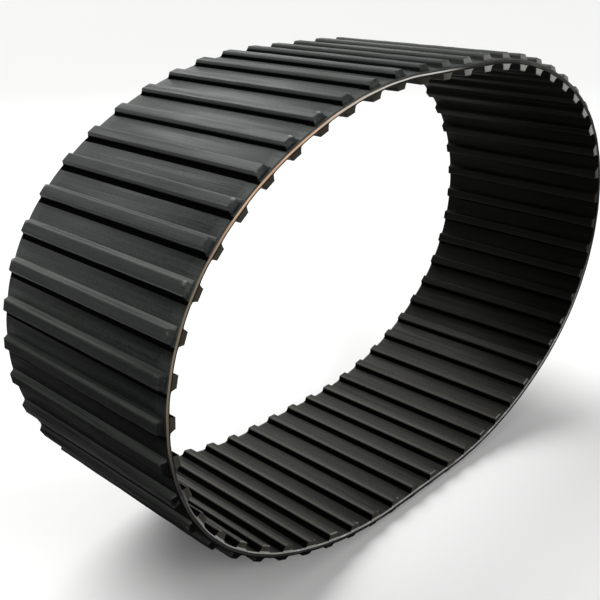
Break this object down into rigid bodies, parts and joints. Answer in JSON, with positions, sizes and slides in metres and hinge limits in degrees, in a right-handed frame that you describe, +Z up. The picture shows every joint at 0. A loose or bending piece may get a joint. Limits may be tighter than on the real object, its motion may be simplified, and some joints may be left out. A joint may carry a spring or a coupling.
{
  "type": "rubber crawler track",
  "caption": "Endless rubber crawler track belt with straight full-width tread bars outside and moulded drive lugs inside, standing on its lower run.",
  "frame": {"origin": "bottom centre of the loop, on the ground under the middle of the lower run", "axes": "+X along the loop's length, +Y across the belt's width, +Z up"},
  "size_m": [1.288, 0.4, 0.8343],
  "materials": {
    "outer_rubber": "moulded, dull black with a slight sheen",
    "carcass_cord": "tan cord fabric, cut edge",
    "inner_rubber": "moulded, fine cross striations",
    "tread_rubber": "moulded, scuffed at the ends",
    "lug_rubber": "moulded, dusty tops",
    "glass_fibre": "pultruded rod, moulded into the lug"
  },
  "bodies": {
    "bottom": {"bottom_outer_cover": "outer_rubber", "bottom_carcass": "carcass_cord", "bottom_inner_cover": "inner_rubber", "bottom_tread_bars": "tread_rubber", "bottom_drive_lugs": "lug_rubber", "bottom_stiffener_rods": "glass_fibre"},
    "lower_left": {"lower_left_outer_cover": "outer_rubber", "lower_left_carcass": "carcass_cord", "lower_left_inner_cover": "inner_rubber", "lower_left_tread_bars": "tread_rubber", "lower_left_drive_lugs": "lug_rubber", "lower_left_stiffener_rods": "glass_fibre"},
    "left_end_low": {"left_end_low_outer_cover": "outer_rubber", "left_end_low_carcass": "carcass_cord", "left_end_low_inner_cover": "inner_rubber", "left_end_low_tread_bars": "tread_rubber", "left_end_low_drive_lugs": "lug_rubber", "left_end_low_stiffener_rods": "glass_fibre"},
    "left_end_high": {"left_end_high_outer_cover": "outer_rubber", "left_end_high_carcass": "carcass_cord", "left_end_high_inner_cover": "inner_rubber", "left_end_high_tread_bars": "tread_rubber", "left_end_high_drive_lugs": "lug_rubber", "left_end_high_stiffener_rods": "glass_fibre"},
    "upper_left": {"upper_left_outer_cover": "outer_rubber", "upper_left_carcass": "carcass_cord", "upper_left_inner_cover": "inner_rubber", "upper_left_tread_bars": "tread_rubber", "upper_left_drive_lugs": "lug_rubber", "upper_left_stiffener_rods": "glass_fibre"},
    "top": {"top_outer_cover": "outer_rubber", "top_carcass": "carcass_cord", "top_inner_cover": "inner_rubber", "top_tread_bars": "tread_rubber", "top_drive_lugs": "lug_rubber", "top_stiffener_rods": "glass_fibre"},
    "upper_right": {"upper_right_outer_cover": "outer_rubber", "upper_right_carcass": "carcass_cord", "upper_right_inner_cover": "inner_rubber", "upper_right_tread_bars": "tread_rubber", "upper_right_drive_lugs": "lug_rubber", "upper_right_stiffener_rods": "glass_fibre"},
    "right_end_high": {"right_end_high_outer_cover": "outer_rubber", "right_end_high_carcass": "carcass_cord", "right_end_high_inner_cover": "inner_rubber", "right_end_high_tread_bars": "tread_rubber", "right_end_high_drive_lugs": "lug_rubber", "right_end_high_stiffener_rods": "glass_fibre"},
    "right_end_low": {"right_end_low_outer_cover": "outer_rubber", "right_end_low_carcass": "carcass_cord", "right_end_low_inner_cover": "inner_rubber", "right_end_low_tread_bars": "tread_rubber", "right_end_low_drive_lugs": "lug_rubber", "right_end_low_stiffener_rods": "glass_fibre"},
    "lower_right": {"lower_right_outer_cover": "outer_rubber", "lower_right_carcass": "carcass_cord", "lower_right_inner_cover": "inner_rubber", "lower_right_tread_bars": "tread_rubber", "lower_right_drive_lugs": "lug_rubber", "lower_right_stiffener_rods": "glass_fibre"}
  },
  "joints": [
    {"name": "bottom_to_lower_left", "type": "hinge", "parent": "bottom", "child": "lower_left", "pos_m": [-0.19591, 0, 0.02078], "axis": [0, 1, 0], "range_deg": [-7.2, 6.4], "stiffness_Nm_per_rad": 300, "springref_deg": 2.58},
    {"name": "lower_left_to_left_end_low", "type": "hinge", "parent": "lower_left", "child": "left_end_low", "pos_m": [-0.48345, 0, 0.12846], "axis": [0, 1, 0], "range_deg": [-2.4, 2.7], "stiffness_Nm_per_rad": 300, "springref_deg": -0.97},
    {"name": "left_end_low_to_left_end_high", "type": "hinge", "parent": "left_end_low", "child": "left_end_high", "pos_m": [-0.62905, 0, 0.39036], "axis": [0, 1, 0], "range_deg": [-8, 9], "stiffness_Nm_per_rad": 300, "springref_deg": -3.23},
    {"name": "left_end_high_to_upper_left", "type": "hinge", "parent": "left_end_high", "child": "upper_left", "pos_m": [-0.46312, 0, 0.70462], "axis": [0, 1, 0], "range_deg": [-2.4, 2.7], "stiffness_Nm_per_rad": 300, "springref_deg": -0.97},
    {"name": "upper_left_to_top", "type": "hinge", "parent": "upper_left", "child": "top", "pos_m": [-0.17557, 0, 0.81327], "axis": [0, 1, 0], "range_deg": [-7.2, 6.4], "stiffness_Nm_per_rad": 300, "springref_deg": 2.58},
    {"name": "top_to_upper_right", "type": "hinge", "parent": "top", "child": "upper_right", "pos_m": [0.19591, 0, 0.81347], "axis": [0, 1, 0], "range_deg": [-7.2, 6.4], "stiffness_Nm_per_rad": 300, "springref_deg": 2.58},
    {"name": "bottom_to_lower_right", "type": "hinge", "parent": "bottom", "child": "lower_right", "pos_m": [0.17557, 0, 0.02098], "axis": [0, -1, 0], "range_deg": [-7.2, 6.4], "stiffness_Nm_per_rad": 300, "springref_deg": 2.58},
    {"name": "lower_right_to_right_end_low", "type": "hinge", "parent": "lower_right", "child": "right_end_low", "pos_m": [0.46312, 0, 0.12963], "axis": [0, -1, 0], "range_deg": [-2.4, 2.7], "stiffness_Nm_per_rad": 300, "springref_deg": -0.97},
    {"name": "right_end_low_to_right_end_high", "type": "hinge", "parent": "right_end_low", "child": "right_end_high", "pos_m": [0.62905, 0, 0.44389], "axis": [0, -1, 0], "range_deg": [-8, 9], "stiffness_Nm_per_rad": 300, "springref_deg": -3.23}
  ],
  "couplings": [
    {"joint": "lower_left_to_left_end_low", "follows": "bottom_to_lower_left", "ratio": -0.375},
    {"joint": "left_end_low_to_left_end_high", "follows": "bottom_to_lower_left", "ratio": -1.25},
    {"joint": "left_end_high_to_upper_left", "follows": "bottom_to_lower_left", "ratio": -0.375},
    {"joint": "upper_left_to_top", "follows": "bottom_to_lower_left", "ratio": 1},
    {"joint": "top_to_upper_right", "follows": "bottom_to_lower_left", "ratio": 1},
    {"joint": "bottom_to_lower_right", "follows": "bottom_to_lower_left", "ratio": 1},
    {"joint": "lower_right_to_right_end_low", "follows": "bottom_to_lower_left", "ratio": -0.375},
    {"joint": "right_end_low_to_right_end_high", "follows": "bottom_to_lower_left", "ratio": -1.25}
  ]
}
